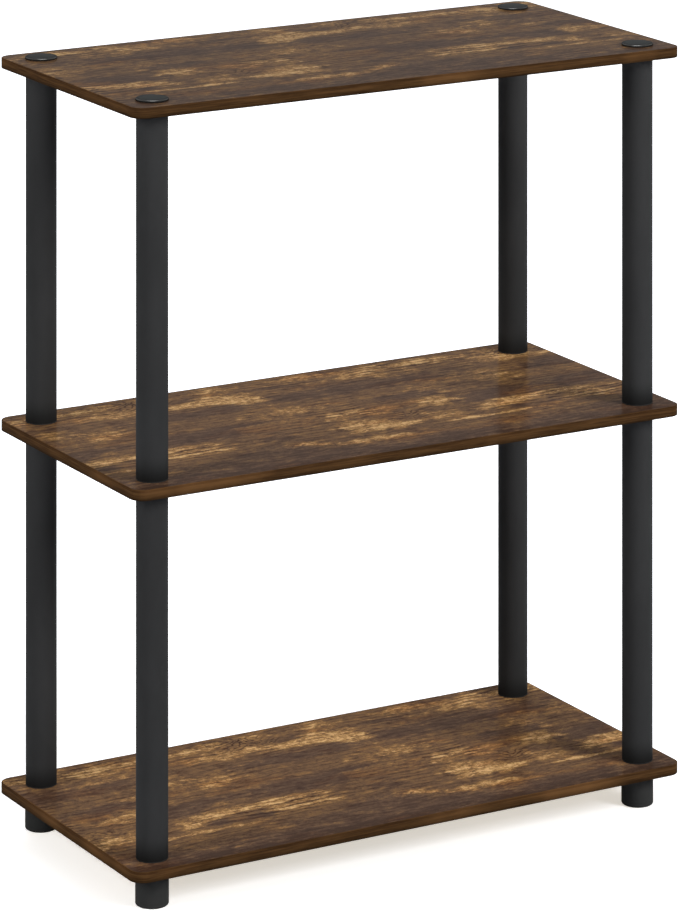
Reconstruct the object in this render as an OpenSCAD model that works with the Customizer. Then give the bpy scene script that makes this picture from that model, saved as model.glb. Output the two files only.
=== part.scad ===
// Open shelving unit with three thin boards, put together by hand.
// At each corner a foot, two tubes and a cap screw into one another through the boards and clamp them.
// The origin is on the floor under the middle of the boards. X is the width, Y the depth and Z up.
// The front faces -Y, and left is -X.

/* [Boards] */
// Width of a board with its edge band
board_w = 600; // [300:1:1200]
// Depth of a board with its edge band
board_d = 292; // [160:1:500]
// Thickness of a board
board_t = 10; // [6:0.5:25]
// Radius of a board's corners, seen from above
corner_r = 14; // [5:0.5:30]

/* [Edge band] */
// Thickness of the strip glued round a board
band_t = 1.2; // [1.1:0.1:2]
// Radius of the strip's two long arrises
band_round = 0.5; // [0.3:0.1:1.1]
// Width of the butt joint where the strip's ends meet, at the rear
band_joint = 0.3; // [0.1:0.1:1]

/* [Tubes] */
// Height of a tube with the lips of its two inserts
tube_h = 339; // [80:1:600]
// Outer diameter of a tube
tube_d = 30; // [28:0.1:40]
// Wall thickness of a tube
tube_wall = 1.8; // [1:0.1:2]
// Distance from a board's left or right edge to a tube's axis
tube_inset_x = 32.5; // [22:0.5:80]
// Distance from a board's front or rear edge to a tube's axis
tube_inset_y = 31.5; // [22:0.5:60]

/* [Screw joints] */
// Outer diameter of a stud's thread
stud_d = 14; // [11:0.1:16]
// Diameter of the hollow in a stud
stud_bore_d = 7.6; // [4:0.1:9]
// Distance from one ridge of the thread to the next
thread_pitch = 3; // [2:0.1:4]
// Depth of the thread
thread_depth = 0.9; // [0.4:0.1:1.2]
// Number of ridges on a stud
thread_ridges = 4; // [2:1:5]
// Length of the plain lead at a stud's tip
stud_lead = 1.5; // [1:0.1:3]
// Gap all round between a stud and its socket
thread_gap = 0.3; // [0.1:0.05:0.5]
// Gap all round between a stud and the hole in a board
hole_gap = 0.7; // [0.3:0.1:2]
// Free depth of a socket beyond the stud's tip
socket_spare = 1.5; // [0.5:0.1:3]
// Wall thickness of a socket
socket_wall = 1.8; // [1.2:0.1:2.2]

/* [Tube inserts] */
// Thickness of the lip that covers a tube's end
lip_t = 1; // [0.6:0.1:3]
// Radius of the lip's outer edge
lip_round = 0.3; // [0.1:0.05:0.5]
// Length of an insert with its lip
plug_h = 20; // [18:0.5:30]
// Wall thickness of an insert's skirt
skirt_wall = 1.5; // [1:0.1:1.6]
// Gap all round between an insert and its tube, filled by glue
push_gap = 0.15; // [0.05:0.05:0.3]
// Number of ribs between an insert's skirt and its middle
rib_count = 6; // [3:1:8]
// Thickness of a rib
rib_t = 1.4; // [0.8:0.1:2]

/* [Feet] */
// Height of a foot
foot_h = 32.5; // [26:0.5:80]
// Diameter of a foot
foot_d = 31.2; // [26:0.1:42]
// Thickness of a foot's side wall
foot_wall = 2.2; // [1.5:0.1:2.6]
// Thickness of a foot's floor
foot_floor = 3; // [2:0.1:5]
// Radius of a foot's lower edge
foot_round = 2; // [0.5:0.1:2.5]

/* [Caps] */
// Height of a cap above the board
cap_h = 2.2; // [2:0.1:8]
// Diameter of a cap
cap_d = 30.8; // [20:0.1:42]
// Radius of a cap's upper edge
cap_round = 0.8; // [0.3:0.1:1.8]
// Thickness of material over the hollow in a cap's stud
cap_skin = 2.5; // [1:0.1:4]

/* [Hidden] */
$fn = 96;
// How far a cut runs past the solid it cuts
cut_over = 1;
// How far a rib or a wall reaches into the solid it grows from
bond = 0.4;
// How far ribs stop short of the ends of the walls they join
rib_drop = 1;

BOARDS = ["bottom", "middle", "top"];
LEVELS = ["lower", "upper"];
// Each corner has a name and the signs of its X and Y
CORNERS = [
    ["front_left", -1, -1],
    ["front_right", 1, -1],
    ["rear_left", -1, 1],
    ["rear_right", 1, 1]
];

stud_r = stud_d / 2;
stud_reach = thread_ridges * thread_pitch + stud_lead;
stud_h = board_t + stud_reach;
socket_r = stud_r + thread_gap;
socket_h = stud_reach + socket_spare;
sleeve_r = socket_r + socket_wall;
plug_r = tube_d / 2 - tube_wall - push_gap;
tube_body_h = tube_h - 2 * lip_t;

// Height of a board's underside, counted from the bottom board
function board_z(index) = foot_h + index * (board_t + tube_h);
// Height of the face a tube stands on
function tube_z(index) = board_z(index) + board_t;
// Point on a corner's axis at a height
function on_axis(corner, z) = [
    corner[1] * (board_w / 2 - tube_inset_x),
    corner[2] * (board_d / 2 - tube_inset_y),
    z
];
function board_node(index) = str(BOARDS[index], "_board");
function band_node(index) = str(BOARDS[index], "_edge_band");
function tube_node(level, corner, piece) = str(LEVELS[level], "_", corner[0], "_", piece);
function corner_node(corner, piece) = str(corner[0], "_", piece);

// Rectangle with round corners, centred
module rounded_plan(w, d, r) {
    square([w - 2 * r, d], center = true);
    square([w, d - 2 * r], center = true);
    for (sx = [-1, 1], sy = [-1, 1])
        translate([sx * (w / 2 - r), sy * (d / 2 - r)]) circle(r);
}

// Half section of a disc with its rim rounded at the bottom and at the top
module disc_section(radius, height, round_low, round_high) {
    inner = radius - max(round_low, round_high);
    square([inner, height]);
    translate([0, round_low]) square([radius, height - round_low - round_high]);
    if (round_low > 0)
        translate([radius - round_low, round_low]) circle(round_low);
    if (round_high > 0)
        translate([radius - round_high, height - round_high]) circle(round_high);
}

// Section of the edge band: X points away from the board, Y is up
module band_section() {
    intersection() {
        square([band_t, board_t]);
        union() {
            square([band_t - band_round, board_t]);
            translate([0, band_round]) square([band_t, board_t - 2 * band_round]);
            for (y = [band_round, board_t - band_round])
                translate([band_t - band_round, y]) circle(band_round);
        }
    }
}

// Straight stretch of the edge band, centred on its side of the board
module band_run(side_length, distance, turn) {
    rotate(turn)
        translate([distance - band_t, side_length / 2 - corner_r, 0])
            rotate([90, 0, 0])
                linear_extrude(side_length - 2 * corner_r) band_section();
}

// Round stretch of the edge band at one corner
module band_corner(sx, sy, turn) {
    translate([sx * (board_w / 2 - corner_r), sy * (board_d / 2 - corner_r), 0])
        rotate(turn)
            rotate_extrude(angle = 90)
                translate([corner_r - band_t, 0]) band_section();
}

// Ribs from a sleeve at the middle out to a wall
module ribs(inner_r, outer_r, height) {
    for (i = [0:rib_count - 1])
        rotate(i * 360 / rib_count)
            translate([inner_r - bond, -rib_t / 2, 0])
                cube([outer_r - inner_r + 2 * bond, rib_t, height]);
}

// Upright tube-shaped wall
module ring(outer_r, inner_r, height) {
    difference() {
        cylinder(r = outer_r, h = height);
        translate([0, 0, -cut_over]) cylinder(r = inner_r, h = height + 2 * cut_over);
    }
}

// Lip, skirt, ribs and middle that both kinds of insert share. The lip's outer face is at zero
module insert_body() {
    wall_h = plug_h - lip_t + bond;
    rotate_extrude() disc_section(tube_d / 2, lip_t, lip_round, 0);
    translate([0, 0, lip_t - bond]) {
        ring(plug_r, plug_r - skirt_wall, wall_h);
        cylinder(r = sleeve_r, h = wall_h);
        ribs(sleeve_r, plug_r - skirt_wall, wall_h - rib_drop);
    }
}

// Half section of a stud that hangs from zero: a plain shank in the board, then ridges and a lead
module stud_section() {
    root_r = stud_r - thread_depth;
    ridges = [
        for (i = [0:thread_ridges - 1]) each [
            [root_r, -board_t - (i + 1 / 2) * thread_pitch],
            [stud_r, -board_t - (i + 1) * thread_pitch]
        ]
    ];
    polygon(concat([[0, 0], [stud_r, 0], [stud_r, -board_t]], ridges, [[root_r, -stud_h], [0, -stud_h]]));
}

// Laminated panel with a hole for a stud at each corner
module board(index) {
    color("#6b5038")
        translate([0, 0, board_z(index)])
            difference() {
                linear_extrude(board_t)
                    rounded_plan(board_w - 2 * band_t, board_d - 2 * band_t, corner_r - band_t);
                for (corner = CORNERS)
                    translate(on_axis(corner, -cut_over))
                        cylinder(r = stud_r + hole_gap, h = board_t + 2 * cut_over);
            }
}

// Strip round a board's edge, with its butt joint at the middle of the rear side
module edge_band(index) {
    color("#4b3018")
        translate([0, 0, board_z(index)])
            difference() {
                union() {
                    band_run(board_d, board_w / 2, 0);
                    band_run(board_w, board_d / 2, 90);
                    band_run(board_d, board_w / 2, 180);
                    band_run(board_w, board_d / 2, 270);
                    band_corner(1, 1, 0);
                    band_corner(-1, 1, 90);
                    band_corner(-1, -1, 180);
                    band_corner(1, -1, 270);
                }
                translate([-band_joint / 2, board_d / 2 - band_t - cut_over, -cut_over])
                    cube([band_joint, band_t + 2 * cut_over, board_t + 2 * cut_over]);
            }
}

// Straight tube between the lips of its two inserts
module tube(level, corner) {
    color("#2f2f30")
        translate(on_axis(corner, tube_z(level) + lip_t))
            ring(tube_d / 2, tube_d / 2 - tube_wall, tube_body_h);
}

// Insert in a tube's upper end, with the socket that takes the stud from above
module socket_insert(level, corner) {
    color("#262627")
        translate(on_axis(corner, tube_z(level) + tube_h))
            mirror([0, 0, 1])
                difference() {
                    insert_body();
                    translate([0, 0, -cut_over]) cylinder(r = socket_r, h = plug_h + 2 * cut_over);
                }
}

// Insert in a tube's lower end, with the stud that goes down through the board
module stud_insert(level, corner) {
    color("#262627")
        translate(on_axis(corner, tube_z(level)))
            difference() {
                union() {
                    insert_body();
                    rotate_extrude() stud_section();
                }
                translate([0, 0, -stud_h - cut_over])
                    cylinder(d = stud_bore_d, h = stud_h + plug_h + 2 * cut_over);
            }
}

// Cup-shaped foot with a ribbed socket in its middle
module foot(corner) {
    color("#2c2c2d")
        translate(on_axis(corner, 0))
            difference() {
                union() {
                    difference() {
                        rotate_extrude() disc_section(foot_d / 2, foot_h, foot_round, 0);
                        translate([0, 0, foot_floor])
                            cylinder(d = foot_d - 2 * foot_wall, h = foot_h);
                    }
                    cylinder(r = sleeve_r, h = foot_h);
                    translate([0, 0, foot_floor - bond])
                        ribs(sleeve_r, foot_d / 2 - foot_wall, foot_h - rib_drop - foot_floor + bond);
                }
                translate([0, 0, foot_h - socket_h]) cylinder(r = socket_r, h = foot_h);
            }
}

// Cap with a round rim and a stud that screws into the upper tube
module cap(corner) {
    color("#2a2e30")
        translate(on_axis(corner, board_z(len(BOARDS) - 1) + board_t))
            difference() {
                union() {
                    rotate_extrude() disc_section(cap_d / 2, cap_h, 0, cap_round);
                    rotate_extrude() stud_section();
                }
                translate([0, 0, -stud_h - cut_over])
                    cylinder(d = stud_bore_d, h = stud_h + cut_over + cap_h - cap_skin);
            }
}

for (i = [0:2]) {
    board(i);
    edge_band(i);
}
for (level = [0:1], corner = CORNERS) {
    tube(level, corner);
    socket_insert(level, corner);
    stud_insert(level, corner);
}
for (corner = CORNERS) {
    foot(corner);
    cap(corner);
}
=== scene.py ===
# %% [markdown]
# # An open shelving unit, dressed piece by piece
# Three thin boards with a rustic wood print are clamped between black tubes that screw into one another.
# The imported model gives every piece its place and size. This lesson keeps those, builds the visible
# pieces again with finer meshes, and gives each finish its own shader nodes.
# Everything is in metres, with the origin on the floor under the middle of the boards and Z up.

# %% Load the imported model
import math

import bmesh
import bpy
from mathutils import Matrix, Vector


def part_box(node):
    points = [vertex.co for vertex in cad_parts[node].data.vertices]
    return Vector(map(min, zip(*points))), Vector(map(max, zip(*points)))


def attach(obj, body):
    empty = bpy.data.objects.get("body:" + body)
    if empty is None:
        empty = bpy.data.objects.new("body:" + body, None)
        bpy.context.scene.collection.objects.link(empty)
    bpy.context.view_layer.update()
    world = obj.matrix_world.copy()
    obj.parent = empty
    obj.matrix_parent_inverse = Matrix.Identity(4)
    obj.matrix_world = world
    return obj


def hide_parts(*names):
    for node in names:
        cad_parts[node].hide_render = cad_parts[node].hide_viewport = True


MM = 0.001
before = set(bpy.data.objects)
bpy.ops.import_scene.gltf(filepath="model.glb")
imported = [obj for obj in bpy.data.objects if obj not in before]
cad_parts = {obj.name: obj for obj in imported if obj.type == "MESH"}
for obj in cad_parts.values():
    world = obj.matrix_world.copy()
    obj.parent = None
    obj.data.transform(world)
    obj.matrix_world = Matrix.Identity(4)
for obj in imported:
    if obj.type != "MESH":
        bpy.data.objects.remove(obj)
scene = bpy.context.scene
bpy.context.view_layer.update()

# %% [markdown]
# ## The camera
# In the photograph all the tubes are parallel although the camera looks down on the shelf, so the camera
# was held level and only its lens was slid down, as a view camera does for furniture. Blender's lens shift
# can do that, but here it would be one and a half frames, and it would stay on in every other view and
# push the shelf out of them. The same picture comes from a camera that looks straight at the shelf while
# its own up axis stays upright. Such a leaning set of axes is what an empty with unequal scale gives to a
# child that is turned 45 degrees in it.

# %% Where the camera stands and what it sees
IMAGE_HEIGHT_PX = 911
HORIZON_ROW_PX = -866.5
FOCAL_LENGTH_PX = 4803
SENSOR = 36.0
CAMERA_SPOT = Vector((-2.328, -4.033, 1.6305))
CAMERA_HEADING = math.radians(-29.972)

lens_drop_px = IMAGE_HEIGHT_PX / 2 - HORIZON_ROW_PX
look_down = math.atan2(lens_drop_px, FOCAL_LENGTH_PX)
focal_along_view_px = math.hypot(lens_drop_px, FOCAL_LENGTH_PX)
print("looks down by", round(math.degrees(look_down), 2), "degrees")

# %% The leaning axes and the camera in them
right = Vector((math.cos(CAMERA_HEADING), math.sin(CAMERA_HEADING), 0))
level_back = Vector((math.sin(CAMERA_HEADING), -math.cos(CAMERA_HEADING), 0))
half_lean = (math.pi / 2 - look_down) / 2
between = Vector((0, 0, 1)) * math.cos(half_lean) + level_back * math.sin(half_lean)
across = right.cross(between) * math.tan(half_lean)

camera_axes = bpy.data.objects.new("camera_axes", None)
scene.collection.objects.link(camera_axes)
leaning = Matrix((right, between, across)).transposed().to_4x4()
camera_axes.matrix_world = Matrix.Translation(CAMERA_SPOT) @ leaning

camera = bpy.data.objects.new("camera", bpy.data.cameras.new("camera"))
scene.collection.objects.link(camera)
camera.parent = camera_axes
camera.rotation_euler = (math.radians(-45), 0, 0)
camera.data.sensor_width = SENSOR
camera.data.lens = focal_along_view_px * SENSOR / IMAGE_HEIGHT_PX
camera.data.clip_end = 100
scene.camera = camera
print("lens", round(camera.data.lens, 1), "mm")

# %% [markdown]
# ## Light and floor
# The picture is a studio cut-out: a white ground that runs into a white backdrop, with a narrow shadow
# under the lowest board. Three wide lamps stand low enough to reach in between the boards, so that the
# lower ones are as bright as the top one, and a dim white world fills the rest. What the camera and the
# reflections see of the world is plain white at strength 1.
#
# The floor could simply be white paper, but then it would need strong lamps to look white. Here it adds
# some white of its own, for those same rays only, and keeps the shadow. Under the shelf it adds less, in
# an oval round the middle, so that the shadow shows there. Outside the oval it adds full white. The white
# under the shelf is also warmer: painted warm light on the shadow, standing in for the light the boards
# throw down. The paper itself is a little blue, so this painted warmth shows most where the shadow is
# deepest. From below it is clear, so that the underside of the shelf can be looked at.

# %% Small helpers for shader nodes
def add_node(tree, kind, **settings):
    """Adds one node and sets its plain settings."""
    made = tree.nodes.new("ShaderNode" + kind)
    for name, value in settings.items():
        setattr(made, name, value)
    return made


def feed(tree, socket, value):
    """Joins an output to a socket, or sets the socket to a plain value."""
    if isinstance(value, bpy.types.NodeSocket):
        tree.links.new(value, socket)
    else:
        socket.default_value = value


def maths(tree, operation, *values):
    """One step of arithmetic. Each value is a number or an output."""
    made = add_node(tree, "Math", operation=operation)
    for socket, value in zip(made.inputs, values):
        feed(tree, socket, value)
    return made.outputs[0]


def vector_maths(tree, operation, *values, out="Vector"):
    """One step of arithmetic on vectors."""
    made = add_node(tree, "VectorMath", operation=operation)
    for socket, value in zip(made.inputs, values):
        feed(tree, socket, value)
    return made.outputs[out]


def ramp(tree, value, low, high, to_low=0.0, to_high=1.0):
    """Spreads the stretch from low to high over to_low to to_high, with soft ends, and clamps."""
    made = add_node(tree, "MapRange", interpolation_type="SMOOTHSTEP")
    for socket, number in zip(made.inputs, (value, low, high, to_low, to_high)):
        feed(tree, socket, number)
    return made.outputs[0]


def blend_colour(tree, share, first, second, mode="MIX"):
    """Mixes two colours by a share from 0 to 1."""
    made = add_node(tree, "Mix", data_type="RGBA", blend_type=mode)
    feed(tree, made.inputs[0], share)
    feed(tree, made.inputs[6], first)
    feed(tree, made.inputs[7], second)
    return made.outputs[2]


def seen_white(tree):
    """1 for the rays that see the backdrop: those of the camera, of gloss and of clear material."""
    path = add_node(tree, "LightPath")
    first = maths(tree, "MAXIMUM", path.outputs["Is Camera Ray"], path.outputs["Is Glossy Ray"])
    return maths(tree, "MAXIMUM", first, path.outputs["Is Transmission Ray"])


# %% The world
WORLD_LEVEL = 0.14
PLAIN_WHITE = (1, 1, 1, 1)

world = bpy.data.worlds.new("studio")
scene.world = world
world.use_nodes = True
tree = world.node_tree
tree.nodes.clear()
soft = add_node(tree, "Background")
soft.inputs["Color"].default_value = PLAIN_WHITE
soft.inputs["Strength"].default_value = WORLD_LEVEL
white = add_node(tree, "Background")
white.inputs["Color"].default_value = PLAIN_WHITE
choice = add_node(tree, "MixShader")
feed(tree, choice.inputs[0], seen_white(tree))
tree.links.new(soft.outputs[0], choice.inputs[1])
tree.links.new(white.outputs[0], choice.inputs[2])
tree.links.new(choice.outputs[0], add_node(tree, "OutputWorld").inputs[0])
print("world level", WORLD_LEVEL)

# %% The floor
FLOOR_SIZE = 30.0
# Painted light: the bluish paper and the warm white under the shelf give the shadow a painted warm tint,
# as if thrown down by the boards.
FLOOR_PAPER = (0.86, 0.9, 0.98, 1)
PAINTED_WARM_WHITE_UNDER_SHELF = (0.635, 0.603, 0.545, 1)
OVAL_FADE = (0.36, 0.6)
OVAL_SQUEEZE = (1.35, 1, 1)

floor_mesh = bmesh.new()
bmesh.ops.create_grid(floor_mesh, x_segments=1, y_segments=1, size=FLOOR_SIZE / 2)
floor_data = bpy.data.meshes.new("floor")
floor_mesh.to_mesh(floor_data)
floor_mesh.free()
floor = bpy.data.objects.new("floor", floor_data)
scene.collection.objects.link(floor)

floor_finish = bpy.data.materials.new("white_ground")
floor_finish.use_nodes = True
tree = floor_finish.node_tree
tree.nodes.clear()
paper = add_node(tree, "BsdfDiffuse")
paper.inputs["Color"].default_value = FLOOR_PAPER
own_white = add_node(tree, "Emission")
away = vector_maths(tree, "MULTIPLY", add_node(tree, "TexCoord").outputs["Object"], OVAL_SQUEEZE)
away = vector_maths(tree, "LENGTH", away, out="Value")
outside = ramp(tree, away, *OVAL_FADE)
feed(tree, own_white.inputs["Color"], blend_colour(tree, outside, PAINTED_WARM_WHITE_UNDER_SHELF, PLAIN_WHITE))
feed(tree, own_white.inputs["Strength"], seen_white(tree))
both = add_node(tree, "AddShader")
tree.links.new(paper.outputs[0], both.inputs[0])
tree.links.new(own_white.outputs[0], both.inputs[1])
from_below = add_node(tree, "MixShader")
tree.links.new(add_node(tree, "NewGeometry").outputs["Backfacing"], from_below.inputs[0])
tree.links.new(both.outputs[0], from_below.inputs[1])
tree.links.new(add_node(tree, "BsdfTransparent").outputs[0], from_below.inputs[2])
tree.links.new(from_below.outputs[0], add_node(tree, "OutputMaterial").inputs[0])
floor_data.materials.append(floor_finish)
print("floor", FLOOR_SIZE, "m wide")

# %% [markdown]
# ## Lamps
# The three wide lamps light the surfaces but aren't seen in reflections, where they would leave hard
# squares on the tubes. A fourth lamp does the opposite. It hangs high over the front of the shelf, gives
# no plain light and is seen by gloss alone, for the small glint on the front of each cap.

# %% The lamps
AIM = Vector((0, 0, 0.4))
LAMP_DISTANCE = 4.0
LAMP_SIZE = 1.4
WIDE_LAMPS = {
    "lamp_left": {"azimuth": -80, "elevation": 27, "watts": 77},
    "lamp_right": {"azimuth": 31, "elevation": 27, "watts": 130},
    "lamp_rear": {"azimuth": 170, "elevation": 27, "watts": 58},
}
GLINT_SPOT = Vector((-0.5, -0.9, 3.6))
GLINT_SIZE = 2.0
GLINT_WATTS = 190


def add_lamp(name, spot, size, watts):
    """A square area lamp that points at the middle of the shelf."""
    data = bpy.data.lights.new(name, "AREA")
    data.shape = "SQUARE"
    data.size = size
    data.energy = watts
    lamp = bpy.data.objects.new(name, data)
    lamp.location = spot
    lamp.rotation_euler = (AIM - spot).to_track_quat("-Z", "Y").to_euler()
    scene.collection.objects.link(lamp)
    return lamp


def add_wide_lamp(name, azimuth, elevation, watts):
    """Azimuth 0 is in front of the shelf and 90 at its right."""
    turn = math.radians(azimuth)
    rise = math.radians(elevation)
    level = Vector((math.sin(turn), -math.cos(turn), 0)) * math.cos(rise)
    towards = level + Vector((0, 0, math.sin(rise)))
    lamp = add_lamp(name, AIM + towards * LAMP_DISTANCE, LAMP_SIZE, watts)
    lamp.visible_glossy = False


for name, facts in WIDE_LAMPS.items():
    add_wide_lamp(name, **facts)
glint_lamp = add_lamp("lamp_glint", GLINT_SPOT, GLINT_SIZE, GLINT_WATTS)
glint_lamp.visible_diffuse = False
print("lamps", len(bpy.data.lights))
scene.view_settings.view_transform = "Standard"

# %% [markdown]
# ## Node groups that the finishes share
# A node group is one effect with its own sockets. Built once, it is placed in each material with the
# values of that piece. Three are enough here: wide streaks that run along the edge strips, the rustic
# print of the boards, and the fine skin of moulded plastic.

# %% Making a group with named sockets
SOCKETS = {"number": "NodeSocketFloat", "colour": "NodeSocketColor", "vector": "NodeSocketVector"}


def new_group(name, takes, gives):
    """A shader node group. takes and gives are lists of (name, kind) pairs."""
    tree = bpy.data.node_groups.new(name, "ShaderNodeTree")
    for label, kind in takes:
        tree.interface.new_socket(label, in_out="INPUT", socket_type=SOCKETS[kind])
    for label, kind in gives:
        tree.interface.new_socket(label, in_out="OUTPUT", socket_type=SOCKETS[kind])
    entry = tree.nodes.new("NodeGroupInput")
    leave = tree.nodes.new("NodeGroupOutput")
    return tree, entry.outputs, leave.inputs


def place_group(tree, group, **values):
    """Puts a group in a material's tree. Each value is a plain one or an output."""
    made = tree.nodes.new("ShaderNodeGroup")
    made.node_tree = group
    for name, value in values.items():
        feed(tree, made.inputs[name], value)
    return made.outputs


def linear(red, green, blue):
    """A colour given as on a screen, 0 to 255, as the linear values that shaders use."""
    shares = [c / 255 for c in (red, green, blue)]
    return tuple(s / 12.92 if s <= 0.04045 else ((s + 0.055) / 1.055) ** 2.4 for s in shares) + (1,)


def noise(tree, vector, scale, detail=3.0, roughness=0.5):
    """Noise between about 0.2 and 0.8, by position."""
    made = add_node(tree, "TexNoise")
    feed(tree, made.inputs["Vector"], vector)
    feed(tree, made.inputs["Scale"], scale)
    feed(tree, made.inputs["Detail"], detail)
    feed(tree, made.inputs["Roughness"], roughness)
    return made.outputs["Fac"]


# %% Wide streaks along a grain
SWAY_CELLS = (9, 22, 22)
BROAD_SHARE = (0.35, 0.22, 0.22)

streaks, given, result = new_group(
    "grain_streaks",
    [("Vector", "vector"), ("Along", "number"), ("Across", "number"), ("Sway", "number")],
    [("Broad", "number")],
)
parts = add_node(streaks, "SeparateXYZ")
streaks.links.new(given["Vector"], parts.inputs[0])
sway_at = vector_maths(streaks, "MULTIPLY", given["Vector"], SWAY_CELLS)
sway = maths(streaks, "SUBTRACT", noise(streaks, sway_at, 1.0, detail=2.0), 0.5)
swayed = maths(streaks, "MULTIPLY_ADD", sway, given["Sway"], parts.outputs["Y"])
stretched = add_node(streaks, "CombineXYZ")
streaks.links.new(maths(streaks, "MULTIPLY", parts.outputs["X"], given["Along"]), stretched.inputs[0])
streaks.links.new(maths(streaks, "MULTIPLY", swayed, given["Across"]), stretched.inputs[1])
streaks.links.new(maths(streaks, "MULTIPLY", parts.outputs["Z"], given["Across"]), stretched.inputs[2])
broad_at = vector_maths(streaks, "MULTIPLY", stretched.outputs[0], BROAD_SHARE)
streaks.links.new(noise(streaks, broad_at, 1.0, detail=3.0), result["Broad"])
print("group", streaks.name)

# %% [markdown]
# ## The rustic print
# The boards are covered with one printed paper: golden patches, grey-brown patches and fine streaks along
# the width, repeated every 450 mm. The three boards are cut from different places of the roll, and the top
# one is turned so that its left is the print's right. A noise texture alone never gives the large patches
# their places, so those are set one by one, as a painter would: each is a soft oval with a middle, two
# half sizes and a strength, in millimetres on the paper. Noise then frays their edges and draws the grain.
# Level scales the colour of a whole board and is painted light and shade. The lower boards lie in the
# shade of the ones above, so their colour is made lighter and the top one's darker, until the three come
# out about equally bright. Margin is how strongly a board is made darker towards its front edge.

# %% The patches of the print, in millimetres
REPEAT = 450
GOLD_PATCHES = [
    (-72, 97, 60, 13, 1.0),
    (0, 92, 40, 11, 0.7),
    (36, 96, 40, 18, 1.1),
    (56, 80, 26, 14, 0.9),
    (-200, 126, 85, 16, 0.6),
    (-110, 122, 60, 14, 0.5),
    (-40, 132, 50, 12, 0.4),
    (45, 128, 30, 14, 0.8),
    (150, 130, 40, 11, 0.9),
    (190, 112, 34, 14, 0.45),
    (240, 100, 40, 26, 0.35),
    (-120, -41, 92, 9, 1.0),
    (-178, -50, 26, 14, 0.8),
    (-75, -62, 60, 14, 0.55),
    (118, -58, 40, 22, 1.2),
    (140, -68, 30, 16, 0.7),
    (100, -98, 56, 14, 0.8),
    (20, -88, 34, 13, 0.6),
    (218, -12, 38, 18, 0.85),
    (192, -60, 36, 18, 0.6),
    (-195, -81, 90, 4, 0.9),
    (-197, -58, 16, 14, 0.6),
    (72, 26, 58, 20, 0.6),
    (-130, 38, 40, 22, 0.55),
    (-160, 62, 30, 16, 0.35),
    (120, -14, 60, 18, 0.45),
    (-215, 30, 26, 30, 0.3),
]
GREY_PATCHES = [
    (-30, 62, 80, 17, 1.1),
    (30, 62, 40, 14, 0.6),
    (145, 72, 95, 26, 1.0),
    (-50, -10, 66, 26, 1.2),
    (12, 2, 34, 11, 0.8),
    (205, 20, 55, 19, 1.0),
    (262, -22, 34, 24, 1.0),
    (-2, -94, 52, 22, 1.0),
    (20, -55, 36, 30, 0.5),
    (-145, -8, 45, 16, 0.7),
    (-125, -66, 17, 9, 1.1),
    (-168, -65, 16, 8, 0.9),
    (-75, -99, 66, 12, 0.7),
    (0, -128, 500, 26, 0.85),
    (105, 110, 36, 12, 0.6),
    (15, 112, 14, 10, 0.6),
    (-190, 78, 60, 22, 0.6),
]
RIPPLE_PATCHES = [
    (-190, 122, 90, 20, 0.9),
    (-95, -56, 100, 26, 1.0),
    (120, -4, 60, 24, 0.8),
    (110, 118, 60, 18, 0.7),
]
CHEVRON_PATCHES = [
    (-50, 120, 62, 22, 1.0),
    (165, -40, 40, 24, 0.6),
]
DARK_FLECKS = [
    (84, -57, 5, 13, 1.0),
    (52, -102, 18, 11, 0.6),
    (130, 0, 30, 8, 0.4),
]
PALE_FLECKS = [
    (-91, 57, 6, 4, 1.0),
    (17, 26, 5, 5, 1.0),
    (253, 54, 7, 5, 0.8),
    (60, -100, 16, 9, 0.5),
    (78, -76, 16, 3, 0.7),
]
PATCH_CORE_SHARE = 0.1
PATCH_EDGE_SHARE = 1.35


def patch_total(tree, spot, patches):
    """The sum of soft ovals at a spot of the paper, which repeats along its length."""
    total = 0.0
    half_repeat = REPEAT * MM / 2
    for middle_u, middle_v, half_u, half_v, strength in patches:
        away = vector_maths(tree, "SUBTRACT", spot, (middle_u * MM, middle_v * MM, 0))
        away = vector_maths(tree, "WRAP", away, (half_repeat, 1, 1), (-half_repeat, -1, -1))
        share = vector_maths(tree, "DIVIDE", away, (half_u * MM, half_v * MM, 1))
        distance = vector_maths(tree, "LENGTH", share, out="Value")
        oval = ramp(tree, distance, PATCH_CORE_SHARE, PATCH_EDGE_SHARE, strength, 0.0)
        total = maths(tree, "ADD", oval, total)
    return total


# %% [markdown]
# ## Frayed edges and streaks
# Real grain wanders, so nothing in the print is quite straight. The spot on the paper is pushed about by
# noise before anything is drawn there: a little for the streaks, and much further for the patches, whose
# edges fray. The streaks are noise that is stretched along the paper. Five sizes are added up later:
# clouds of about 4 by 2 cm, bands of 12 by 1 cm, blots of 1 cm, specks of 5 mm, and fibres 2 mm wide.

# %% The place on the paper, with frayed edges
print_tree, given, result = new_group(
    "rustic_print",
    [("Vector", "vector")] + [(label, "number") for label in ("Turn", "Shift", "Level", "Margin")],
    [("Color", "colour"), ("Gloss", "number"), ("Height", "number")],
)
place = add_node(print_tree, "SeparateXYZ")
print_tree.links.new(given["Vector"], place.inputs[0])
along = maths(print_tree, "MULTIPLY_ADD", place.outputs["X"], given["Turn"], given["Shift"])
on_paper = add_node(print_tree, "CombineXYZ")
print_tree.links.new(along, on_paper.inputs[0])
print_tree.links.new(place.outputs["Y"], on_paper.inputs[1])
flat_spot = on_paper.outputs[0]


def stirred(tree, spot, cells, reach, detail, rough):
    """The spot pushed about by noise. cells is noise cells per metre and reach the push in metres."""
    made = add_node(tree, "TexNoise")
    tree.links.new(vector_maths(tree, "MULTIPLY", spot, cells), made.inputs["Vector"])
    made.inputs["Scale"].default_value = 1.0
    made.inputs["Detail"].default_value = detail
    made.inputs["Roughness"].default_value = rough
    push = vector_maths(tree, "SUBTRACT", made.outputs["Color"], (0.5, 0.5, 0.5))
    push = vector_maths(tree, "MULTIPLY", push, reach)
    return vector_maths(tree, "ADD", spot, push)


paper_spot = stirred(print_tree, flat_spot, (14, 20, 1), (12 * MM, 9 * MM, 0), 3.0, 0.5)
frayed_spot = stirred(print_tree, flat_spot, (24, 70, 1), (56 * MM, 22 * MM, 0), 7.0, 0.72)

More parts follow.
